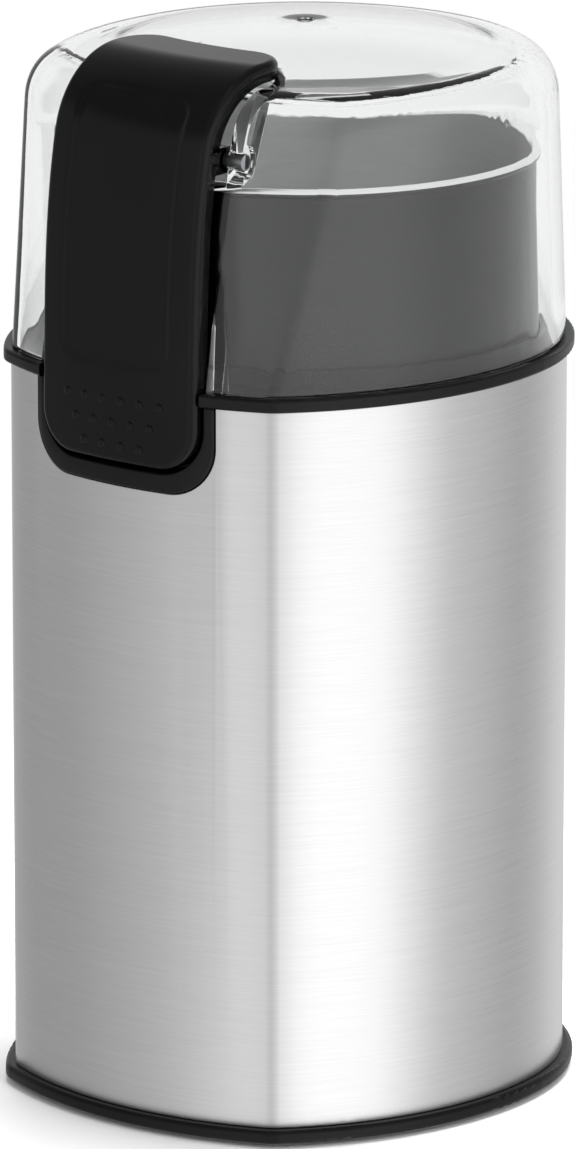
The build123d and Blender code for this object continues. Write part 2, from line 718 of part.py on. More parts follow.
# Brush holders under the upper bracket, with the carbon brushes and their springs
with BuildPart() as brush_holders:
    with BuildSketch(level(BRUSH_MID_Z - BRUSH_H / 2 - BRUSH_GAP - HOLDER_T)):
        with PolarLocations((COMMUTATOR_R + HOLDER_GAP + HOLDER_END) / 2, 2):
            Rectangle(HOLDER_END - COMMUTATOR_R - HOLDER_GAP, 2 * HOLDER_HALF_W)
    extrude(amount=BRACKET_LOW - BRUSH_MID_Z + BRUSH_H / 2 + BRUSH_GAP + HOLDER_T)
    with BuildSketch(level(BRUSH_MID_Z - BRUSH_H / 2 - BRUSH_GAP)):
        with PolarLocations((COMMUTATOR_R + HOLDER_END - HOLDER_T) / 2, 2):
            Rectangle(HOLDER_END - COMMUTATOR_R - HOLDER_T, BRUSH_W + 2 * BRUSH_GAP)
    extrude(amount=BRUSH_H + 2 * BRUSH_GAP, mode=Mode.SUBTRACT)

with BuildPart() as carbon_brushes:
    with BuildSketch(level(BRUSH_MID_Z - BRUSH_H / 2)):
        with PolarLocations(BRUSH_FRONT + BRUSH_LENGTH / 2, 2):
            Rectangle(BRUSH_LENGTH, BRUSH_W)
        Circle(BRUSH_FRONT, mode=Mode.SUBTRACT)
    extrude(amount=BRUSH_H)

with BuildPart() as brush_springs:
    for turn in (0, 180):
        with BuildSketch(facing_plane(turn, BRUSH_BACK)):
            with Locations((0, BRUSH_MID_Z)):
                Circle(SPRING_R)
                Circle(SPRING_R - 2 * SPRING_WIRE_R, mode=Mode.SUBTRACT)
        extrude(amount=HOLDER_END - HOLDER_T - BRUSH_BACK)

# Motor shaft and what turns with it
with BuildPart() as motor_shaft:
    with BuildSketch(level(SHAFT_LOW)):
        Circle(SHAFT_R)
    extrude(amount=SHAFT_TOP - SHAFT_LOW)

with BuildPart() as armature_core:
    add(tube(STATOR_LOW, STATOR_TOP, BORE_R - AIR_GAP, SHAFT_R + PRESS_GAP))
    with BuildSketch(level(STATOR_LOW)):
        with PolarLocations(BORE_R - AIR_GAP, ARMATURE_SLOTS):
            Rectangle(2 * SLOT_DEPTH, SLOT_W)
    extrude(amount=STATOR_H, mode=Mode.SUBTRACT)

with BuildPart() as armature_windings:
    for low in (STATOR_LOW - WINDING_H, STATOR_TOP):
        add(tube(low, low + WINDING_H, WINDING_R, SHAFT_R + PRESS_GAP))

with BuildPart() as commutator:
    add(tube(COMMUTATOR_LOW, COMMUTATOR_LOW + COMMUTATOR_H, COMMUTATOR_R, SHAFT_R + PRESS_GAP))
    with BuildSketch(level(COMMUTATOR_LOW)):
        with PolarLocations(COMMUTATOR_R, COMMUTATOR_BARS):
            Rectangle(2 * COMMUTATOR_CUT_DEPTH, COMMUTATOR_CUT)
    extrude(amount=COMMUTATOR_H, mode=Mode.SUBTRACT)

with BuildPart() as cooling_fan:
    add(tube(FAN_LOW, FAN_LOW + FAN_DISC_T, FAN_R, SHAFT_R + PRESS_GAP))
    add(tube(FAN_LOW, FAN_LOW + FAN_H, FAN_HUB_R, SHAFT_R + PRESS_GAP))
    with BuildSketch(level(FAN_LOW)):
        with PolarLocations((FAN_R + FAN_HUB_R - FAN_BLADE_T) / 2, FAN_BLADES):
            Rectangle(FAN_R - FAN_HUB_R, FAN_BLADE_T)
    extrude(amount=FAN_H)

with BuildPart() as blade_hub:
    add(tube(BLADE_HUB_LOW, BLADE_Z, HUB_R, SHAFT_R + PRESS_GAP))

# Blade: flat in the middle, with swept wings that rise towards the tips
with BuildPart() as blade:
    with BuildSketch(FRONT_VIEW):
        with BuildLine():
            Polyline(
                (0, BLADE_Z),
                (BLADE_FLAT_HALF, BLADE_Z),
                (BLADE_HALF, BLADE_Z + BLADE_RISE),
                (BLADE_HALF, BLADE_Z + BLADE_RISE + BLADE_T),
                (BLADE_FLAT_HALF, BLADE_Z + BLADE_T),
                (0, BLADE_Z + BLADE_T),
                close=True,
            )
        make_face()
        mirror(about=Plane.YZ)
    extrude(amount=BLADE_W, both=True)
    with BuildSketch(level(BLADE_Z)):
        with BuildLine():
            Polyline(
                (-BLADE_HALF, -BLADE_W / 2),
                (BLADE_FLAT_HALF, -BLADE_W / 2),
                (BLADE_HALF, BLADE_W / 2 - BLADE_TIP_W),
                (BLADE_HALF, BLADE_W / 2),
                (-BLADE_FLAT_HALF, BLADE_W / 2),
                (-BLADE_HALF, BLADE_TIP_W - BLADE_W / 2),
                close=True,
            )
        make_face()
    extrude(amount=BLADE_RISE + BLADE_T, mode=Mode.INTERSECT)
    with BuildSketch(level(BLADE_Z)):
        Circle(SHAFT_R + PRESS_GAP)
    extrude(amount=BLADE_T, mode=Mode.SUBTRACT)

with BuildPart() as blade_nut:
    with BuildSketch(level(BLADE_Z + BLADE_T)):
        RegularPolygon(NUT_ACROSS / 2, 6, major_radius=False)
        Circle(SHAFT_R + PRESS_GAP, mode=Mode.SUBTRACT)
    extrude(amount=NUT_H)


def lid_section(height, draft):
    """Outline of the lid at a height, moved in by a draft."""
    share = (height - LID_LOW) / (LID_RIM_Z - LID_LOW)
    return body_face(-LID_SET_IN - draft, LID_LEAN * share)


def lid_form(inset):
    """Solid form of the lid, moved in by a wall: drafted sides, a rounded shoulder and a low dome."""
    rim = LID_RIM_Z - inset
    rise = LID_SHOULDER_H - inset
    sink = LID_SHOULDER_IN - inset
    turns = [radians(90 * step / LID_SHOULDER_STEPS) for step in range(LID_SHOULDER_STEPS + 1)]
    with BuildPart() as form:
        for height, draft in ((LID_LOW, 0.0), (LID_SHOULDER_Z, LID_DRAFT)):
            with BuildSketch(level(height)):
                add(lid_section(height, draft + inset))
        loft(ruled=True)
        for turn in turns:
            height = LID_SHOULDER_Z + rise * sin(turn)
            with BuildSketch(level(height)):
                add(lid_section(height, LID_DRAFT + sink * (1 - cos(turn)) + inset))
        loft()
    with BuildPart() as dome:
        with BuildSketch(level(rim - inset)):
            add(lid_section(LID_RIM_Z, LID_DRAFT + LID_SHOULDER_IN))
        extrude(amount=DOME_RISE + LID_WALL)
        with Locations((0, AXIS_Y, TOTAL_H - DOME_R)):
            Sphere(DOME_R - inset, mode=Mode.INTERSECT)
    with BuildPart() as whole:
        add(form.part)
        add(dome.part)
    return whole.part


def lever_path(depth):
    """Lower end, upper end and curve of the lever's face, moved in by a depth."""
    low = (LEVER_FRONT - depth * cos(LEAN_LOW), LEVER_LOW_Z - depth * sin(LEAN_LOW))
    high = (BEND_REACH - depth * cos(LEAN_MID), BEND_Z - depth * sin(LEAN_MID))
    rise = PolarLine(low, LEVER_DROP, 90 + LEVER_LEAN)
    lean_out = (-sin(LEAN_MID), cos(LEAN_MID))
    sweep = Spline(rise @ 1, high, tangents=(rise % 1, lean_out))
    bend = JernArc(sweep @ 1, lean_out, LEVER_BEND_R - depth, LEVER_BEND)
    tip = PolarLine(bend @ 1, LEVER_TIP - depth / tan(LEAN_HIGH), 90 + degrees(LEAN_HIGH))
    return rise @ 0, tip @ 1


def lever_plan(half_width, back, corner):
    """Lever seen from above, from its back end to far in front, with its back corners rounded."""
    with BuildSketch(Plane.XY) as plan:
        with Locations((0, -(back + FAR) / 2)):
            Rectangle(2 * half_width, FAR - back)
        fillet(plan.vertices().group_by(Axis.Y)[-1], corner)
    return plan.sketch


def lever_layer(near, far, half_width, low, high, corner):
    """Layer of the lever between two depths, trimmed to a panel seen from the front."""
    with BuildPart() as layer:
        with BuildSketch(SIDE_VIEW):
            with BuildLine():
                near_low, near_high = lever_path(near)
                far_low, far_high = lever_path(far)
                Line(near_low, far_low)
                Line(near_high, far_high)
            make_face()
        revolve(axis=CROWN_AXIS, revolution_arc=2 * degrees(half_width / LEVER_CROWN_R))
        mirror(about=MIRROR_PLANE)
        with BuildSketch(FRONT_VIEW.offset(LEVER_TIP_REACH)):
            add(tongue_face(half_width, low, high, corner))
        extrude(amount=FAR, mode=Mode.INTERSECT)
        with BuildSketch(level(low)):
            add(lever_plan(half_width, LEVER_TIP_REACH, LEVER_BACK_R))
        extrude(amount=high - low, mode=Mode.INTERSECT)
    return layer.part


def slot_room(grow):
    """Room that the lid leaves for the lever, grown by a wall."""
    with BuildPart() as room:
        with BuildSketch(SIDE_VIEW):
            with BuildLine():
                Polyline(
                    (FAR, LID_LOW - SLOT_WALL),
                    (SLOT_BACK, LID_LOW - SLOT_WALL),
                    (SLOT_BACK, SLOT_LEDGE_Z),
                    (SLOT_LEDGE_REACH, SLOT_LEDGE_Z + SLOT_LEDGE_RISE),
                    (SLOT_TOP_REACH + SLOT_SHELF_RUN, SLOT_SHELF_Z),
                    (SLOT_TOP_REACH, SLOT_SHELF_Z),
                    (SLOT_TOP_REACH, TOTAL_H + LID_SHOULDER_H),
                    (FAR, TOTAL_H + LID_SHOULDER_H),
                    close=True,
                )
            make_face()
            offset(amount=grow, kind=Kind.INTERSECTION)
        extrude(amount=SLOT_HALF_W + grow, both=True)
        with BuildSketch(level(LID_LOW - 2 * SLOT_WALL)):
            add(lever_plan(SLOT_HALF_W + grow, SLOT_TOP_REACH - grow, LEVER_BACK_R + SLOT_TOP_GAP + grow))
        extrude(amount=TOTAL_H, mode=Mode.INTERSECT)
    return room.part


# Clear lid: a thin hood with a channel at the front for the lever and bosses for its pins
with BuildPart() as slot_walls:
    add(slot_room(SLOT_WALL))
    for side in (1, -1):
        with BuildSketch(SIDE_VIEW.offset(side * SLOT_HALF_W)):
            with Locations((HINGE_REACH, HINGE_Z)):
                Circle(PIN_BOSS_R)
        extrude(amount=side * (SLOT_WALL + PIN_BOSS_T))
    add(lid_form(0), mode=Mode.INTERSECT)

with BuildPart() as clear_lid:
    add(lid_form(0))
    add(lid_form(LID_WALL), mode=Mode.SUBTRACT)
    add(slot_walls.part)
    add(slot_room(0), mode=Mode.SUBTRACT)
    with BuildSketch(SIDE_VIEW):
        with Locations((HINGE_REACH, HINGE_Z)):
            Circle(PIN_R + PRESS_GAP)
    extrude(amount=SLOT_HALF_W + SLOT_WALL + PIN_BOSS_T, both=True, mode=Mode.SUBTRACT)
    with BuildSketch(level(TOTAL_H)):
        Circle(GATE_R)
    extrude(amount=-GATE_DEPTH, mode=Mode.SUBTRACT)

# Two short pins, pressed into the side walls of the channel
with BuildPart() as hinge_pins:
    for side in (1, -1):
        with BuildSketch(SIDE_VIEW.offset(side * (LEVER_HALF_W - LEVER_SIDE_T))):
            with Locations((HINGE_REACH, HINGE_Z)):
                Circle(PIN_R)
        extrude(amount=side * (LEVER_SIDE_T + LEVER_GAP + SLOT_WALL + PIN_BOSS_T))

# Grip dots near the lower end of the lever
with BuildPart() as grip_dots:
    for row, count in enumerate(DOT_ROWS):
        with BuildSketch(FRONT_VIEW):
            with Locations((0, DOT_LOW_Z + row * DOT_PITCH_Z)):
                with GridLocations(DOT_PITCH_X, 0, count, 1):
                    Circle(DOT_R)
        extrude(amount=FAR)
    add(
        lever_layer(
            -DOT_PROUD, LEVER_SKIN / 2, LEVER_HALF_W, LEVER_LOW_Z, PANEL_LOW_Z, LEVER_CORNER_R
        ),
        mode=Mode.INTERSECT,
    )

# Press lever: thin crowned shell with side walls, a sunk panel, grip dots and hinge ears
with BuildPart() as press_lever:
    add(lever_layer(0, LEVER_T, LEVER_HALF_W, LEVER_LOW_Z, TOTAL_H, LEVER_CORNER_R))
    add(
        lever_layer(
            LEVER_SKIN,
            LEVER_T + CUT_OVER,
            LEVER_HALF_W - LEVER_SIDE_T,
            LEVER_LOW_Z + LEVER_SIDE_T,
            LEVER_HOLLOW_HIGH_Z,
            LEVER_CORNER_R - LEVER_SIDE_T,
        ),
        mode=Mode.SUBTRACT,
    )
    add(
        lever_layer(-CUT_OVER, PANEL_DEPTH, PANEL_HALF_W, PANEL_LOW_Z, PANEL_HIGH_Z, PANEL_CORNER_R),
        mode=Mode.SUBTRACT,
    )
    for side in (1, -1):
        with BuildSketch(SIDE_VIEW.offset(side * LEVER_HALF_W)):
            with Locations((HINGE_REACH, HINGE_Z)):
                Circle(EAR_R)
            with Locations((HINGE_REACH + EAR_R, HINGE_Z)):
                Rectangle(2 * EAR_R, 2 * EAR_R)
        extrude(amount=-side * LEVER_SIDE_T)
        with BuildSketch(SIDE_VIEW.offset(side * LEVER_HALF_W)):
            with Locations((HINGE_REACH, HINGE_Z)):
                Circle(PIN_R + RUN_FIT)
        extrude(amount=-side * LEVER_SIDE_T, mode=Mode.SUBTRACT)
    add(grip_dots.part)

# Switch plunger: button in the bezel with a leg that hangs inside the chassis
BUTTON_TIP = LEVER_FRONT - LEVER_SKIN - BUTTON_GAP - LEVER_CROWN_FALL
with BuildPart() as switch_plunger:
    with BuildSketch(FRONT_VIEW.offset(LEG_FRONT)):
        with Locations((0, (BUTTON_Z + LEG_TOP_RISE + LEG_LOW_Z) / 2)):
            Rectangle(LEG_W, BUTTON_Z + LEG_TOP_RISE - LEG_LOW_Z)
    extrude(amount=-LEG_T)
    with BuildSketch(FRONT_VIEW.offset(LEG_FRONT)):
        with Locations((0, BUTTON_Z)):
            Circle(BUTTON_R)
    extrude(amount=BUTTON_TIP - LEG_FRONT)

# Microswitch behind the lower end of the leg, on a plate that hangs from the deck
SWITCH_FRONT = LEG_BACK - PRESS_TRAVEL - SWITCH_FREE
SWITCH_BACK = SWITCH_FRONT - SWITCH_DEPTH
with BuildPart() as microswitch:
    with BuildSketch(FRONT_VIEW.offset(SWITCH_BACK)):
        with Locations((0, SWITCH_LOW_Z + SWITCH_H / 2)):
            Rectangle(SWITCH_W, SWITCH_H)
    extrude(amount=SWITCH_DEPTH)
    fillet(microswitch.edges().filter_by(Axis.Y), SWITCH_CORNER_R)

with BuildPart() as switch_bracket:
    with BuildSketch(FRONT_VIEW.offset(SWITCH_BACK)):
        with Locations((0, (SWITCH_LOW_Z + DECK_LOW) / 2)):
            Rectangle(SWITCH_W, DECK_LOW - SWITCH_LOW_Z)
    extrude(amount=-SWITCH_PLATE_T)

# Return spring between the leg and the plate
with BuildPart() as plunger_spring:
    with BuildSketch(FRONT_VIEW.offset(SWITCH_BACK)):
        with Locations((0, SPRING_Z)):
            Circle(SPRING_R)
            Circle(SPRING_R - 2 * SPRING_WIRE_R, mode=Mode.SUBTRACT)
    extrude(amount=LEG_BACK - SWITCH_BACK)

PIECES = {
    "base_cover": base_cover,
    "rubber_feet": rubber_feet,
    "base_screws": base_screws,
    "cord_gland": cord_gland,
    "steel_shell": steel_shell,
    "chassis": chassis,
    "collar": collar,
    "switch_bezel": switch_bezel,
    "grinding_cup": grinding_cup,
    "cup_gasket": cup_gasket,
    "shaft_seal": shaft_seal,
    "stator_core": stator_core,
    "field_coils": field_coils,
    "upper_bracket": upper_bracket,
    "lower_bracket": lower_bracket,
    "upper_bearing": upper_bearing,
    "lower_bearing": lower_bearing,
    "motor_screws": motor_screws,
    "motor_dampers": motor_dampers,
    "brush_holders": brush_holders,
    "carbon_brushes": carbon_brushes,
    "brush_springs": brush_springs,
    "motor_shaft": motor_shaft,
    "armature_core": armature_core,
    "armature_windings": armature_windings,
    "commutator": commutator,
    "cooling_fan": cooling_fan,
    "blade_hub": blade_hub,
    "blade": blade,
    "blade_nut": blade_nut,
    "clear_lid": clear_lid,
    "hinge_pins": hinge_pins,
    "press_lever": press_lever,
    "switch_plunger": switch_plunger,
    "microswitch": microswitch,
    "switch_bracket": switch_bracket,
    "plunger_spring": plunger_spring,
}

os.makedirs("parts", exist_ok=True)
for name, piece in PIECES.items():
    piece.part.label = name
    export_step(piece.part, f"parts/{name}.step")
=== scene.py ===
# %% [markdown]
# An upright blade grinder has a brushed steel body, a black lever and a clear lid over a
# round steel cup.  The solids come from CAD as a fixed frame, so this lesson adds only the
# looks: finer pieces where an edge or a shine needs them, a finish for each material, and a
# plain studio.  All lengths are metres, in the frame of the CAD model.

# %% Load the frame
import json
from math import cos, hypot, pi, radians, sin, sqrt

import bmesh
import bpy
from mathutils import Matrix, Vector


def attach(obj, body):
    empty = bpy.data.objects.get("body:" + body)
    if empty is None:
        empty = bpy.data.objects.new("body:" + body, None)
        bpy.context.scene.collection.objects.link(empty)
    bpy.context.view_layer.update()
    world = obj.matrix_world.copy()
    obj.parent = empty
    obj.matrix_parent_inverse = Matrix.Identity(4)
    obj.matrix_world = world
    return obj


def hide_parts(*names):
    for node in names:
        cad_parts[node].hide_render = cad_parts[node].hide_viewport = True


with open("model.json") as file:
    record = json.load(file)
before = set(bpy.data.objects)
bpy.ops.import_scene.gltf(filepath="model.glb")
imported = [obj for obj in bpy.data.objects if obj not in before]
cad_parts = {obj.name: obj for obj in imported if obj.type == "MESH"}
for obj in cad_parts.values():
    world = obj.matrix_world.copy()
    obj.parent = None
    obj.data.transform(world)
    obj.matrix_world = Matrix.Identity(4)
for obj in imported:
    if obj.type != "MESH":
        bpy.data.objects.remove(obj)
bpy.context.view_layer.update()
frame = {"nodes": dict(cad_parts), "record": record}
MM = 0.001

# %% [markdown]
# Finishes are written as the colours one would pick on a screen, in hex.  Shaders work with
# linear light, so one function turns the hex value into linear numbers.  A second one adds a
# node to a material with its settings and links, which keeps each finish short enough to read
# in one look.

# %% Colour and node helpers


def linear(colour):
    """Linear RGBA of an sRGB hex colour such as '#808080'."""
    parts = [int(colour[i:i + 2], 16) / 255 for i in (1, 3, 5)]
    return [c / 12.92 if c <= 0.04045 else ((c + 0.055) / 1.055) ** 2.4 for c in parts] + [1.0]


def node(tree, kind, values=None, links=None, **settings):
    """Add a node, set its properties and input values, and link its inputs."""
    made = tree.nodes.new(kind)
    for name, value in settings.items():
        setattr(made, name, value)
    for name, value in (values or {}).items():
        made.inputs[name].default_value = value
    for name, (source, output) in (links or {}).items():
        tree.links.new(source.outputs[output], made.inputs[name])
    return made


def finish(name, **values):
    """New material: its tree, its Principled shader and its Object coordinates."""
    material = bpy.data.materials.new(name)
    material.use_nodes = True
    tree = material.node_tree
    shader = tree.nodes["Principled BSDF"]
    for socket, value in values.items():
        shader.inputs[socket.replace("_", " ")].default_value = value
    coords = node(tree, "ShaderNodeTexCoord")
    print("finish:", name)
    return material, tree, shader, coords


def shade_range(tree, source, low, high, colour_low, colour_high):
    """Colour ramp between two hex colours, over a range of a 0-to-1 pattern."""
    ramp = node(tree, "ShaderNodeValToRGB", links={"Fac": source})
    ramp.color_ramp.elements[0].position = low
    ramp.color_ramp.elements[0].color = linear(colour_low)
    ramp.color_ramp.elements[1].position = high
    ramp.color_ramp.elements[1].color = linear(colour_high)
    return ramp


# %% [markdown]
# The body is stainless sheet, brushed round the body with an abrasive belt before it was
# formed.  The scratches are long along the brushing and very thin across it, so a noise
# pattern is stretched sideways.  They also smear reflections up and down, which the shader
# calls anisotropy: the tangent runs round the Z axis, and a quarter turn makes the smear
# upright.  Real scratches are about 0.05 mm apart; they are drawn at 0.3 mm so that they show.

# %% Brushed stainless steel
SCRATCH_GAP = 0.3 * MM
SCRATCH_LENGTH = 14 * MM
brushed_steel, tree, shader, coords = finish(
    "brushed stainless steel", Metallic=1.0, Anisotropic=0.72, Anisotropic_Rotation=0.25)
stretch = node(tree, "ShaderNodeMapping",
               {"Scale": (1 / SCRATCH_LENGTH, 1 / SCRATCH_LENGTH, 1 / SCRATCH_GAP)},
               {"Vector": (coords, "Object")})
scratches = node(tree, "ShaderNodeTexNoise", {"Scale": 1.0, "Detail": 4.0, "Roughness": 0.6},
                 {"Vector": (stretch, "Vector")})
steel_shade = shade_range(tree, (scratches, "Fac"), 0.3, 0.7, "#d6d6d7", "#dfdfdf")
gloss = node(tree, "ShaderNodeMapRange", {"To Min": 0.24, "To Max": 0.34}, {"Value": (scratches, "Fac")})
relief = node(tree, "ShaderNodeBump", {"Strength": 0.06, "Distance": 0.02 * MM},
              {"Height": (scratches, "Fac")})
around = node(tree, "ShaderNodeTangent", direction_type="RADIAL", axis="Z")
tree.links.new(steel_shade.outputs["Color"], shader.inputs["Base Color"])
tree.links.new(gloss.outputs["Result"], shader.inputs["Roughness"])
tree.links.new(relief.outputs["Normal"], shader.inputs["Normal"])
tree.links.new(around.outputs["Tangent"], shader.inputs["Tangent"])

# %% [markdown]
# The cup and the blade are stainless too.  A cup is deep-drawn and then spun against emery, which
# leaves thin rings round the motor axis.  The inside and the rolled rim are polished, and their
# near-white colour adds painted light; the outside below the rim is coloured near-black, a painted
# shade that stands in for the dark surroundings it mirrors, so the finish asks which way the surface
# looks: away from the axis is outside.  The blade is ground to its edge and is coloured a darker
# grey; it is told from the cup by its place, above the floor and well inside the wall.

# %% Stainless steel of the cup and blade
RING_GAP = 0.4 * MM
MOTOR_Y = 2.6 * MM
RIM_LOW = 173.3 * MM
BLADE_LOW = 114.0 * MM
BLADE_REACH = 32 * MM
MIXED = 2


def blend(tree, share, low, high):
    """Mix of two colours by a share from 0 to 1."""
    mix = node(tree, "ShaderNodeMix", data_type="RGBA")
    # The names of a Mix node's sockets repeat for each kind of value, so they go by number
    for socket, (source, output) in zip((0, 6, 7), (share, low, high)):
        tree.links.new(source.outputs[output], mix.inputs[socket])
    return mix


cup_steel, tree, shader, coords = finish(
    "drawn stainless steel", Metallic=1.0, Anisotropic=0.5, Anisotropic_Rotation=0.25)
stretch = node(tree, "ShaderNodeMapping", {"Scale": (1 / (9 * MM), 1 / (9 * MM), 1 / RING_GAP)},
               {"Vector": (coords, "Object")})
rings = node(tree, "ShaderNodeTexNoise", {"Scale": 1.0, "Detail": 3.0}, {"Vector": (stretch, "Vector")})
# Painted shade and painted light: the outer wall gets a near-black steel colour, the inside a near-white one
drawn_painted_shade = shade_range(tree, (rings, "Fac"), 0.3, 0.7, "#2e2e2f", "#363636")
polished = shade_range(tree, (rings, "Fac"), 0.3, 0.7, "#f0f0f0", "#f6f6f6")
from_axis = node(tree, "ShaderNodeVectorMath", {1: (0, MOTOR_Y, 0)}, {0: (coords, "Object")},
                 operation="SUBTRACT")
outward = node(tree, "ShaderNodeVectorMath", {1: (1, 1, 0)}, {0: (from_axis, "Vector")},
               operation="MULTIPLY")
surface = node(tree, "ShaderNodeNewGeometry")
# This product is the cup's radius on the outer wall, nothing on the floor and negative inside
looks = node(tree, "ShaderNodeVectorMath", links={0: (outward, "Vector"), 1: (surface, "Normal")},
             operation="DOT_PRODUCT")
outside = node(tree, "ShaderNodeMapRange", {"From Min": 10 * MM, "From Max": 20 * MM},
               {"Value": (looks, "Value")})
height = node(tree, "ShaderNodeSeparateXYZ", links={"Vector": (coords, "Object")})
below = node(tree, "ShaderNodeMath", {1: RIM_LOW}, {0: (height, "Z")}, operation="LESS_THAN")
# Where the painted shade goes: the outer wall below the rim
painted_shade_mask = node(tree, "ShaderNodeMath", links={0: (outside, "Result"), 1: (below, "Value")},
                  operation="MULTIPLY")
ground = shade_range(tree, (rings, "Fac"), 0.3, 0.7, "#77787a", "#848587")
above = node(tree, "ShaderNodeMath", {1: BLADE_LOW}, {0: (height, "Z")}, operation="GREATER_THAN")
reach = node(tree, "ShaderNodeVectorMath", links={0: (outward, "Vector")}, operation="LENGTH")
near = node(tree, "ShaderNodeMath", {1: BLADE_REACH}, {0: (reach, "Value")}, operation="LESS_THAN")
on_blade = node(tree, "ShaderNodeMath", links={0: (above, "Value"), 1: (near, "Value")},
                operation="MULTIPLY")
cup_only = blend(tree, (painted_shade_mask, "Value"), (polished, "Color"), (drawn_painted_shade, "Color"))
cup_shade = blend(tree, (on_blade, "Value"), (cup_only, MIXED), (ground, "Color"))
gloss = node(tree, "ShaderNodeMapRange", {"To Min": 0.28, "To Max": 0.38}, {"Value": (rings, "Fac")})
around = node(tree, "ShaderNodeTangent", direction_type="RADIAL", axis="Z")
tree.links.new(cup_shade.outputs[MIXED], shader.inputs["Base Color"])
tree.links.new(gloss.outputs["Result"], shader.inputs["Roughness"])
tree.links.new(around.outputs["Tangent"], shader.inputs["Tangent"])

# %% [markdown]
# The black pieces are moulded ABS.  The tool was spark-eroded to a fine grain, so the base, the
# collar and the bezel look satin, and the lever, which came from a polished tool, is glossier.
# Both use the same recipe: a grain for the relief and a wide, faint cloud for the shine, the
# way handled plastic is never evenly bright.

# %% Moulded plastics and rubber
CLOUD_SIZE = 22 * MM


def moulded(name, dark, light, rough, grain, depth, **values):
    """Plastic or rubber with a grain size and depth in metres and a range of roughness."""
    material, tree, shader, coords = finish(name, **values)
    fine = node(tree, "ShaderNodeTexNoise", {"Scale": 1 / grain, "Detail": 2.0},
                {"Vector": (coords, "Object")})
    cloud = node(tree, "ShaderNodeTexNoise", {"Scale": 1 / CLOUD_SIZE, "Detail": 3.0},
                 {"Vector": (coords, "Object")})
    shade = shade_range(tree, (cloud, "Fac"), 0.35, 0.65, dark, light)
    gloss = node(tree, "ShaderNodeMapRange", {"To Min": rough[0], "To Max": rough[1]},
                 {"Value": (cloud, "Fac")})
    relief = node(tree, "ShaderNodeBump", {"Strength": 0.25, "Distance": depth}, {"Height": (fine, "Fac")})
    tree.links.new(shade.outputs["Color"], shader.inputs["Base Color"])
    tree.links.new(gloss.outputs["Result"], shader.inputs["Roughness"])
    tree.links.new(relief.outputs["Normal"], shader.inputs["Normal"])
    return material


black_plastic = moulded("black satin ABS", "#070708", "#0b0b0c", (0.30, 0.42), 0.45 * MM, 0.02 * MM,
                        IOR=1.49, Specular_IOR_Level=0.22)
lever_plastic = moulded("black polished ABS", "#060607", "#09090a", (0.16, 0.22), 0.6 * MM, 0.01 * MM,
                        IOR=1.49, Specular_IOR_Level=0.2)
rubber = moulded("black nitrile rubber", "#1d1d1d", "#262626", (0.70, 0.85), 0.5 * MM, 0.05 * MM, IOR=1.52)
grey_plastic = moulded("grey moulded PBT", "#55565a", "#5d5e62", (0.45, 0.6), 0.5 * MM, 0.03 * MM, IOR=1.55)
carbon = moulded("pressed graphite", "#232325", "#303033", (0.55, 0.7), 0.4 * MM, 0.04 * MM, IOR=1.6)

# %% [markdown]
# The lid is clear acrylic, a hard plastic that is polished in the tool.  Light passes straight
# through it and bends at its walls, so the walls show by their bright and dark edges.  A faint
# cloud in the roughness stands for wiping marks.

# %% Clear acrylic
WIPE_SIZE = 30 * MM
clear_plastic, tree, shader, coords = finish(
    "clear polished acrylic", Transmission_Weight=1.0, IOR=1.49,
    Base_Color=linear("#fbfcfc"))
marks = node(tree, "ShaderNodeTexNoise", {"Scale": 1 / WIPE_SIZE, "Detail": 4.0},
             {"Vector": (coords, "Object")})
gloss = node(tree, "ShaderNodeMapRange", {"To Min": 0.0, "To Max": 0.03}, {"Value": (marks, "Fac")})
tree.links.new(gloss.outputs["Result"], shader.inputs["Roughness"])

# %% [markdown]
# Inside, the motor has the usual metals: zinc-plated screws and brackets, stacked steel
# sheets, enamelled copper wire, bronze bearings and brass brush holders.  They share a recipe
# with a stretched pattern, which gives sheets their layers and wire its turns.


# %% Motor metals
def worked_metal(name, dark, light, rough, spacing):
    """Metal with a pattern whose spacing is given along x, y and z in metres."""
    material, tree, shader, coords = finish(name, Metallic=1.0)
    stretch = node(tree, "ShaderNodeMapping", {"Scale": tuple(1 / s for s in spacing)},
                   {"Vector": (coords, "Object")})
    pattern = node(tree, "ShaderNodeTexNoise", {"Scale": 1.0, "Detail": 3.0}, {"Vector": (stretch, "Vector")})
    shade = shade_range(tree, (pattern, "Fac"), 0.35, 0.65, dark, light)
    gloss = node(tree, "ShaderNodeMapRange", {"To Min": rough[0], "To Max": rough[1]},
                 {"Value": (pattern, "Fac")})
    relief = node(tree, "ShaderNodeBump", {"Strength": 0.3, "Distance": 0.05 * MM},
                  {"Height": (pattern, "Fac")})
    tree.links.new(shade.outputs["Color"], shader.inputs["Base Color"])
    tree.links.new(gloss.outputs["Result"], shader.inputs["Roughness"])
    tree.links.new(relief.outputs["Normal"], shader.inputs["Normal"])
    return material


plated_steel = worked_metal("zinc plated steel", "#a9abad", "#bfc1c4", (0.28, 0.42),
                            (3 * MM, 3 * MM, 3 * MM))
lamination = worked_metal("stacked lamination steel", "#5c5d60", "#77787b", (0.4, 0.55),
                          (20 * MM, 20 * MM, 0.5 * MM))
copper = worked_metal("enamelled copper wire", "#8a4a28", "#b8693b", (0.25, 0.4),
                      (15 * MM, 15 * MM, 0.6 * MM))
bronze = worked_metal("sintered bronze", "#8d7140", "#a3854f", (0.45, 0.6),
                      (0.5 * MM, 0.5 * MM, 0.5 * MM))
brass = worked_metal("stamped brass", "#b7984f", "#c7a95f", (0.25, 0.4),
                     (4 * MM, 4 * MM, 4 * MM))

# %% [markdown]
# Each CAD node names its material slot in the record, so one loop hands every node its finish.

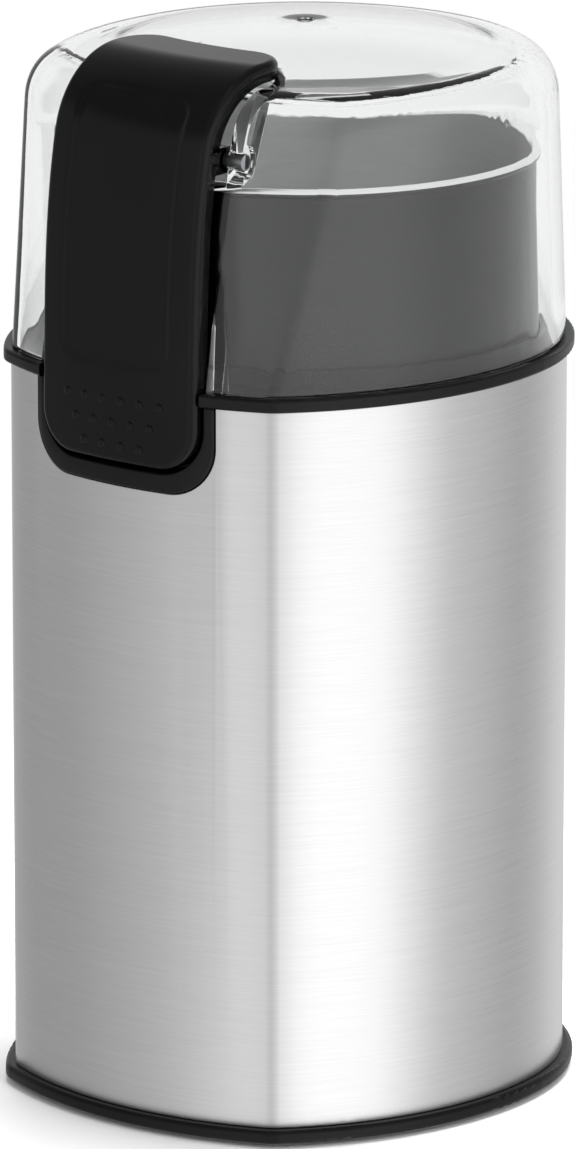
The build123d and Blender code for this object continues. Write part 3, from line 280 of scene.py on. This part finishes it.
# %% Hand out the finishes
FINISHES = {
    "black_plastic": black_plastic, "lever_plastic": lever_plastic, "brushed_steel": brushed_steel,
    "cup_steel": cup_steel, "clear_plastic": clear_plastic, "rubber": rubber, "grey_plastic": grey_plastic,
    "plated_steel": plated_steel, "lamination": lamination, "copper": copper, "bronze": bronze,
    "brass": brass, "carbon": carbon,
}
for subpart in frame["record"]["subparts"]:
    slots = frame["nodes"][subpart["node"]].data.materials
    for index in range(len(slots)):
        slots[index] = FINISHES[subpart["material_slot"]]

# %% [markdown]
# CAD edges are perfectly sharp, but no moulding or pressing is: a tool always leaves a small
# round, and that round catches a thin line of light.  Where such a line matters, a copy of the
# CAD mesh takes the node's place.  Its doubled vertices are merged, flat triangles are dissolved
# into whole faces, and every sharp edge is bevelled with the round that the process leaves.


# %% Helpers for the finer pieces
def piece(name, bm, body, slot):
    """Turn a bmesh into a smooth-shaded object that rides a body and has a finish."""
    bmesh.ops.recalc_face_normals(bm, faces=bm.faces)
    for face in bm.faces:
        face.smooth = True
    mesh = bpy.data.meshes.new(name)
    bm.to_mesh(mesh)
    bm.free()
    mesh.materials.append(FINISHES[slot])
    made = bpy.data.objects.new(name, mesh)
    bpy.context.collection.objects.link(made)
    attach(made, body)
    print("piece:", name, len(mesh.polygons), "faces")
    return made


def softened(name, source, body, slot, edge_round, flat=0.6):
    """Put a copy with rounded edges in a CAD node's place; flat is an angle in degrees."""
    bm = bmesh.new()
    bm.from_mesh(frame["nodes"][source].data)
    bmesh.ops.remove_doubles(bm, verts=bm.verts, dist=0.001 * MM)
    bmesh.ops.dissolve_limit(bm, angle_limit=radians(flat), verts=bm.verts, edges=bm.edges)
    sharp = [e for e in bm.edges if e.is_manifold and e.calc_face_angle() > radians(35)]
    # Clamping would shrink every round to what the shortest edge has room for
    bmesh.ops.bevel(bm, geom=sharp, offset=edge_round, offset_type="OFFSET", affect="EDGES", segments=3,
                    profile=0.5, material=-1, clamp_overlap=False)
    made = piece(name, bm, body, slot)
    made.data.set_sharp_from_angle(angle=radians(40))
    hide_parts(source)


# %% [markdown]
# Four pieces need that line of light.  Deburred sheet steel has the smallest round, a moulded
# tray and a rubber bush have larger ones.  The lid's edges stay crisp, and fewer of its faces
# are dissolved, because clear plastic shows every flat spot on a curve.

# %% Rounded edges of the sleeve, the tray, the bush and the lid
softened("steel_sleeve", "steel_shell", "body", "brushed_steel", 0.25 * MM)
softened("bezel_tray", "switch_bezel", "body", "black_plastic", 0.4 * MM)
softened("gland_bush", "cord_gland", "body", "rubber", 0.5 * MM)
softened("lid_moulding", "clear_lid", "lid", "clear_plastic", 0.3 * MM, flat=0.05)

# %% [markdown]
# The lever is one long moulding: a straight foot, a slow sweep up the lid, a tight bend over the
# top and a short tip.  Its face is crowned from side to side, has a sunk panel with soft edges,
# and all its edges are rounded.  It starts as a flat grid.  One function lays the grid along the
# lever's side view, another gives the depth at each place: the round at the edge plus the panel.

# %% Side view of the lever
LEVER_HALF_W = 18.1
LEVER_CORNER_R = 8.0
CROWN_R = 95.0
FOOT = Vector((54.1, 124.0))
FOOT_LENGTH = 12.4
FOOT_LEAN = radians(1.0)
BEND_START = Vector((50.4, 182.1025))
BEND_LEAN = radians(12.0)
BEND_R = 17.0
BEND_TURN = radians(75.0)
TIP_LENGTH = 8.7
AXIS_Y = 2.6


def heading(lean):
    """Direction along the lever at a lean, as reach and height."""
    return Vector((-sin(lean), cos(lean)))


foot_end = FOOT + heading(FOOT_LEAN) * FOOT_LENGTH
SWEEP_LENGTH = (BEND_START - foot_end).length
LEVER_LENGTH = FOOT_LENGTH + SWEEP_LENGTH + BEND_R * BEND_TURN + TIP_LENGTH


def side_view(along):
    """Place on the lever's face and the way it looks out, for a distance from the foot."""
    if along <= FOOT_LENGTH:
        return FOOT + heading(FOOT_LEAN) * along, FOOT_LEAN
    along -= FOOT_LENGTH
    if along <= SWEEP_LENGTH:
        t = along / SWEEP_LENGTH
        start_way = heading(FOOT_LEAN) * SWEEP_LENGTH
        end_way = heading(BEND_LEAN) * SWEEP_LENGTH
        place = (foot_end * (2 * t**3 - 3 * t**2 + 1) + start_way * (t**3 - 2 * t**2 + t)
                 + BEND_START * (3 * t**2 - 2 * t**3) + end_way * (t**3 - t**2))
        way = ((BEND_START - foot_end) * (6 * t - 6 * t**2) + start_way * (3 * t**2 - 4 * t + 1)
               + end_way * (3 * t**2 - 2 * t)).normalized()
        return place, -way.angle_signed(Vector((0, 1)))
    along -= SWEEP_LENGTH
    turned = min(along / BEND_R, BEND_TURN)
    lean = BEND_LEAN + turned
    centre = BEND_START - Vector((cos(BEND_LEAN), sin(BEND_LEAN))) * BEND_R
    place = centre + Vector((cos(lean), sin(lean))) * BEND_R
    return place + heading(lean) * max(along - BEND_R * BEND_TURN, 0), lean


def lever_place(across, along, depth):
    """Point in the frame for a place on the lever's face and a depth under it, all in mm."""
    place, lean = side_view(along)
    reach = place.x - depth * cos(lean)
    height = place.y - depth * sin(lean)
    ring = reach + CROWN_R - FOOT.x
    return Vector((across, AXIS_Y - sqrt(ring**2 - across**2) + CROWN_R - FOOT.x, height)) * MM


print("lever length in mm:", round(LEVER_LENGTH, 1))

# %% [markdown]
# Both outlines, the lever's and the panel's, are rectangles with rounded corners.  The distance
# to such an outline is all that is needed: close to the lever's outline the face rolls off by a
# quarter circle, and inside the panel's outline it sinks.

# %% Face of the lever
EDGE_R = 1.3
PANEL_HALF_W = 13.2
PANEL_LOW = 17.0
PANEL_HIGH = 69.0
PANEL_CORNER_R = 5.0
PANEL_DEPTH = 0.5
PANEL_SLOPE = 1.8


def inside(across, along, half_width, low, high, corner):
    """Distance inside a rectangle with rounded corners, negative outside."""
    dx = abs(across) - half_width + corner
    dy = abs(along - (low + high) / 2) - (high - low) / 2 + corner
    return corner - hypot(max(dx, 0), max(dy, 0)) - min(max(dx, dy), 0)


def face_depth(across, along):
    """Depth of the lever's face under its crowned form."""
    edge = min(max(inside(across, along, LEVER_HALF_W, 0, LEVER_LENGTH, LEVER_CORNER_R), 0), EDGE_R)
    roll = EDGE_R - sqrt(EDGE_R**2 - (EDGE_R - edge) ** 2)
    sunk = inside(across, along, PANEL_HALF_W, PANEL_LOW, PANEL_HIGH, PANEL_CORNER_R) / PANEL_SLOPE
    sunk = min(max(sunk, 0), 1)
    return roll + PANEL_DEPTH * sunk * sunk * (3 - 2 * sunk)


print("panel depth in mm:", PANEL_DEPTH)

# %% [markdown]
# The grid is laid on the face row by row.  Its border is then extruded to make the sides, and
# a Solidify modifier gives the hollow back that a moulding has, with one even thickness.

# %% The lever from a grid
WALL = 3.4
SIDE_SHORT = 0.05
SKIN = 1.5
bm = bmesh.new()
bmesh.ops.create_grid(bm, x_segments=110, y_segments=230, size=1.0)
run = bm.verts.layers.float.new("run")
wide = bm.verts.layers.float.new("wide")
for vert in bm.verts:
    # Rows and columns crowd towards the edges, where the face bends most
    along = LEVER_LENGTH * (1 + sin(vert.co.y * pi / 2)) / 2
    from_end = min(along, LEVER_LENGTH - along, LEVER_CORNER_R)
    half_width = LEVER_HALF_W - LEVER_CORNER_R + sqrt(LEVER_CORNER_R**2 - (LEVER_CORNER_R - from_end) ** 2)
    across = half_width * sin(vert.co.x * pi / 2)
    vert[run] = along
    vert[wide] = across
    vert.co = lever_place(across, along, face_depth(across, along))
# The sides end just short of the back of the CAD lever
rim = [edge for edge in bm.edges if edge.is_boundary]
for item in bmesh.ops.extrude_edge_only(bm, edges=rim)["geom"]:
    if isinstance(item, bmesh.types.BMVert):
        item.co = lever_place(item[wide], item[run], WALL - SIDE_SHORT)
lever_face = piece("lever_moulding", bm, "lever", "lever_plastic")
thicken = lever_face.modifiers.new("skin", "SOLIDIFY")
thicken.thickness = SKIN * MM
thicken.offset = -1.0
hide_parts("press_lever")

# %% [markdown]
# The grip dots are small domes, moulded in staggered rows so that a damp thumb does not slip.
# Each starts as a ball, is flattened, and is set half into the face, so only its cap shows.

# %% Grip dots
DOT_R = 0.85
DOT_PROUD = 0.35
DOT_ROWS = (4, 5, 6)
DOT_PITCH_ACROSS = 4.3
DOT_PITCH_ALONG = 4.1
DOT_START = 3.2
bm = bmesh.new()
for row, count in enumerate(DOT_ROWS):
    for column in range(count):
        across = (column - (count - 1) / 2) * DOT_PITCH_ACROSS
        along = DOT_START + row * DOT_PITCH_ALONG
        foot = lever_place(across, along, face_depth(across, along))
        out = (lever_place(across, along, -1) - lever_place(across, along, 0)).normalized()
        turn = out.to_track_quat("Z", "Y").to_matrix().to_4x4()
        flat = Matrix.Diagonal((DOT_R * MM, DOT_R * MM, DOT_PROUD * MM, 1))
        bmesh.ops.create_uvsphere(bm, u_segments=20, v_segments=12, radius=1.0,
                                  matrix=Matrix.Translation(foot) @ turn @ flat)
piece("grip_domes", bm, "lever", "lever_plastic")

# %% [markdown]
# Two ears inside the lever hang on the lid's pins.  Each is a ring with a web to the lever's
# skin; the ring is made of two circles bridged and pushed out, the web is a block.

# %% Hinge ears
HINGE_REACH = 42.3
HINGE_Z = 179.9
EAR_R = 2.4
EAR_BORE_R = 1.55
EAR_T = 2.2
EAR_GAP = 0.3
bm = bmesh.new()
for side in (1, -1):
    face_on = Matrix.Translation(Vector((side * (LEVER_HALF_W - EAR_T), AXIS_Y - HINGE_REACH, HINGE_Z)) * MM)
    face_on = face_on @ Matrix.Rotation(side * pi / 2, 4, "Y")
    rings = []
    for radius in (EAR_R, EAR_BORE_R):
        ring = bmesh.ops.create_circle(bm, segments=48, radius=radius * MM, matrix=face_on)["verts"]
        rings += [edge for edge in bm.edges if edge.verts[0] in ring and edge.verts[1] in ring]
    flat = bmesh.ops.bridge_loops(bm, edges=rings)["faces"]
    pushed = bmesh.ops.extrude_face_region(bm, geom=flat)["geom"]
    bmesh.ops.translate(bm, verts=[v for v in pushed if isinstance(v, bmesh.types.BMVert)],
                        vec=(side * (EAR_T - EAR_GAP) * MM, 0, 0))
    web = Vector((side * (LEVER_HALF_W - (EAR_T + EAR_GAP) / 2), AXIS_Y - HINGE_REACH - EAR_R, HINGE_Z)) * MM
    size = Matrix.Diagonal(((EAR_T - EAR_GAP) * MM, 1.4 * EAR_R * MM, 2 * EAR_R * MM, 1))
    bmesh.ops.create_cube(bm, size=1.0, matrix=Matrix.Translation(web) @ size)
ears = piece("hinge_ears", bm, "lever", "lever_plastic")
ears.data.set_sharp_from_angle(angle=radians(40))

# %% [markdown]
# A product photo on white is taken in a white tent, and polished steel looks the way its tent
# looks.  The sides of this tent are not equally bright, so a ring of brightness is written down
# by compass direction, and a colour ramp reads it.  The upper part is dimmer, so that bends
# which look up stay dark.

# %% Walls of the tent
world = bpy.data.worlds.new("white tent")
bpy.context.scene.world = world
world.use_nodes = True
tree = world.node_tree
tree.nodes.clear()
coords = node(tree, "ShaderNodeTexCoord")
compass = node(tree, "ShaderNodeTexGradient", links={"Vector": (coords, "Generated")}, gradient_type="RADIAL")
tent = node(tree, "ShaderNodeValToRGB", links={"Fac": (compass, "Fac")})
# Compass direction in degrees from +X towards +Y, and the tent's brightness there
TENT = ((-180, 0.40), (-150, 0.44), (-115, 0.63), (-88, 1.0), (-62, 0.72), (-40, 1.0), (-24, 1.5), (2, 1.45),
        (26, 0.78), (62, 0.50), (95, 0.76), (130, 0.80), (160, 0.5))
while len(tent.color_ramp.elements) < len(TENT):
    tent.color_ramp.elements.new(0.5)
for element, (turn, level) in zip(tent.color_ramp.elements, TENT):
    element.position = (turn + 180) / 360
    element.color = (level, level, level, 1.0)
UPPER_SHARE = 0.4
split = node(tree, "ShaderNodeSeparateXYZ", links={"Vector": (coords, "Generated")})
rise = node(tree, "ShaderNodeMapRange",
            {"From Min": 0.3, "From Max": 0.5, "To Min": 1.0, "To Max": UPPER_SHARE},
            {"Value": (split, "Z")}, interpolation_type="SMOOTHSTEP")
walls = node(tree, "ShaderNodeBackground", links={"Color": (tent, "Color"), "Strength": (rise, "Result")})
print("tent directions:", len(TENT))

# %% [markdown]
# A world can answer each kind of ray in its own way, which the Light Path node tells apart.  Rays
# that light dull surfaces get an even level, mirrored rays get the walls of the tent, and the
# camera sees plain white, straight or through clear plastic.

# %% What each ray sees of the tent
FILL_LEVEL = 0.55
paths = node(tree, "ShaderNodeLightPath")
straight = node(tree, "ShaderNodeMath", operation="MAXIMUM",
                links={0: (paths, "Is Camera Ray"), 1: (paths, "Is Transmission Ray")})
soft = node(tree, "ShaderNodeBackground", {"Color": (1, 1, 1, 1), "Strength": FILL_LEVEL})
seen = node(tree, "ShaderNodeBackground", {"Color": (1, 1, 1, 1), "Strength": 1.0})
lit = node(tree, "ShaderNodeMixShader", links={0: (paths, "Is Glossy Ray"), 1: (soft, "Background"),
                                               2: (walls, "Background")})
view = node(tree, "ShaderNodeMixShader", links={0: (straight, "Value"), 1: (lit, "Shader"),
                                                2: (seen, "Background")})
node(tree, "ShaderNodeOutputWorld", links={"Surface": (view, "Shader")})
print("fill level:", FILL_LEVEL)

# %% [markdown]
# The floor is a pale sheet under the object.  Close to the object it is a plain dull surface
# that takes the shadow, and further out it fades into the white of the tent, so no edge shows.
# Mirrored rays pass it by, so the steel mirrors the tent below the horizon too.

# %% The floor
FLOOR_R = 0.6
FADE_START = 0.09
FADE_END = 0.3
bm = bmesh.new()
bmesh.ops.create_circle(bm, cap_ends=True, segments=96, radius=FLOOR_R)
mesh = bpy.data.meshes.new("floor")
bm.to_mesh(mesh)
bm.free()
floor = bpy.data.objects.new("floor", mesh)
bpy.context.collection.objects.link(floor)
paper, tree, shader, coords = finish("white paper sheet", Base_Color=linear("#f4f4f4"), Roughness=0.9)
white = node(tree, "ShaderNodeEmission", {"Color": (1, 1, 1, 1), "Strength": 1.0})
paths = node(tree, "ShaderNodeLightPath")
reach = node(tree, "ShaderNodeVectorMath", links={0: (coords, "Object")}, operation="LENGTH")
fade = node(tree, "ShaderNodeMapRange", {"From Min": FADE_START, "From Max": FADE_END},
            {"Value": (reach, "Value")}, interpolation_type="SMOOTHSTEP")
looked = node(tree, "ShaderNodeMath", operation="MAXIMUM",
              links={0: (paths, "Is Camera Ray"), 1: (paths, "Is Transmission Ray")})
share = node(tree, "ShaderNodeMath", links={0: (looked, "Value"), 1: (fade, "Result")}, operation="MULTIPLY")
sheet = node(tree, "ShaderNodeMixShader", links={0: (share, "Value"), 1: (shader, "BSDF"),
                                                 2: (white, "Emission")})
tree.links.new(sheet.outputs["Shader"], tree.nodes["Material Output"].inputs["Surface"])
mesh.materials.append(paper)
floor.visible_glossy = False
print("floor radius:", FLOOR_R)

# %% [markdown]
# Three soft boxes light the dull surfaces and draw the shadow: a tall one on the right, a
# weaker one in front and a wide one overhead.  The tent already holds the bright bands that
# polished faces mirror, and a lamp mirrored in the lid would hide the cup, so mirrored rays
# and rays through clear plastic pass the boxes by.

# %% Soft boxes
LIT_POINT = Vector((0, 0, 0.1))


def soft_box(name, place, width, height, power):
    """Rectangular lamp at a place, turned towards the middle of the object."""
    lamp = bpy.data.lights.new(name, "AREA")
    lamp.shape = "RECTANGLE"
    lamp.size = width
    lamp.size_y = height
    lamp.energy = power
    box = bpy.data.objects.new(name, lamp)
    bpy.context.collection.objects.link(box)
    box.location = place
    box.rotation_euler = (LIT_POINT - Vector(place)).to_track_quat("-Z", "Y").to_euler()
    box.visible_glossy = False
    box.visible_transmission = False
    print("lamp:", name, power, "W")


soft_box("right soft box", (1.05, -0.34, 0.45), 0.45, 1.1, 8.0)
soft_box("front soft box", (0.0, -1.2, 0.6), 0.45, 1.1, 3.0)
soft_box("overhead soft box", (0.0, 0.25, 1.2), 0.8, 0.6, 22.0)

# %% [markdown]
# The camera stands where the photo was taken: about 40 degrees to the right of the front and
# 14.5 degrees above level, far away with a long lens.  Its aim is set so that the
# object fills the frame in the same place.

# %% Camera
IMAGE_H = 1149
FOCUS_PX = 10633.0
TURN = radians(40.11)
RISE = radians(14.52)
AIM = Vector((0, 2.6, 97.41)) * MM
DISTANCE = 1.9481
SHIFT_RIGHT = -3.158 * MM
SHIFT_UP = -4.706 * MM
right = Vector((cos(TURN), sin(TURN), 0))
back = Vector((sin(TURN) * cos(RISE), -cos(TURN) * cos(RISE), sin(RISE)))
up = back.cross(right)
lens = bpy.data.cameras.new("camera")
lens.sensor_width = 36.0
lens.lens = FOCUS_PX * lens.sensor_width / IMAGE_H
lens.clip_end = 20.0
camera = bpy.data.objects.new("camera", lens)
bpy.context.collection.objects.link(camera)
stand = AIM + back * DISTANCE + right * SHIFT_RIGHT + up * SHIFT_UP
camera.matrix_world = Matrix.Translation(stand) @ Matrix((right, up, back)).transposed().to_4x4()
bpy.context.scene.camera = camera
bpy.context.scene.view_settings.view_transform = "Standard"
print("lens in mm:", round(lens.lens, 1))
